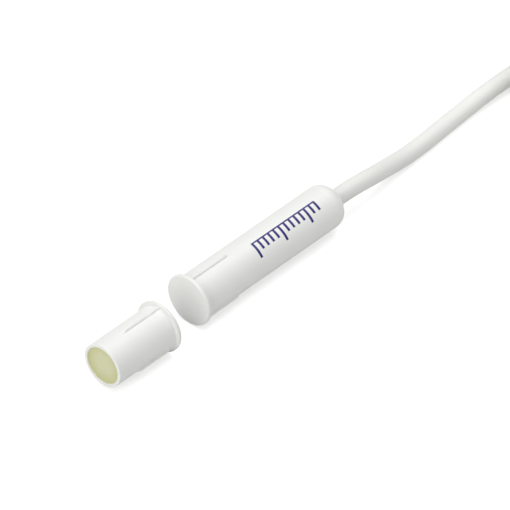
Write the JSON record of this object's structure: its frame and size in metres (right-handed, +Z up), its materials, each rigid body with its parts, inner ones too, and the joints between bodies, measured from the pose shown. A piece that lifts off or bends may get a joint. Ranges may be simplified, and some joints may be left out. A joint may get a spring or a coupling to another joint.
{
  "type": "recessed magnetic contact",
  "caption": "Flush-mounted door or window contact: a cabled reed switch in a flanged plug, and a magnet in a shorter flanged cup, both with crush ribs for a drilled hole.",
  "frame": {"origin": "on the surface under the middle of the two housings, flanges touching it", "axes": "+X along the housings from the magnet half to the cable, +Z up, both housings' axes level"},
  "size_m": [0.1848, 0.0299, 0.0202],
  "materials": {
    "housing_plastic": "white moulded plastic, satin",
    "resin": "cream casting resin",
    "sleeve_rubber": "soft shrunk sleeve",
    "glass_tube": "clear, slightly green",
    "blade_metal": "plated nickel-iron",
    "solder": "tin solder",
    "insulation_white": "soft plastic",
    "insulation_brown": "soft plastic",
    "insulation_green": "soft plastic",
    "insulation_yellow": "soft plastic",
    "conductor": "bare copper",
    "magnet": "cast magnet alloy",
    "sheath": "white soft plastic, satin",
    "tie": "woven band",
    "tinned_wire": "tinned copper"
  },
  "bodies": {
    "root": {"switch_housing": "housing_plastic", "end_cap": "housing_plastic", "exit_bead": "resin", "potting_resin": "resin", "reed_sleeve": "sleeve_rubber", "reed_glass": "glass_tube", "reed_blade_front": "blade_metal", "reed_blade_rear": "blade_metal", "solder_front": "solder", "solder_rear": "solder", "solder_loop": "solder", "core_white": "insulation_white", "core_brown": "insulation_brown", "core_green": "insulation_green", "core_yellow": "insulation_yellow", "core_strands": "conductor", "magnet_housing": "housing_plastic", "bar_magnet": "magnet", "magnet_resin": "resin", "cable_lead": "sheath", "cable_hank": "sheath", "hank_tie": "tie", "cable_tail": "sheath", "tail_core_white": "insulation_white", "tail_core_brown": "insulation_brown", "tail_core_green": "insulation_green", "tail_core_yellow": "insulation_yellow", "tail_strands": "tinned_wire"}
  },
  "joints": []
}
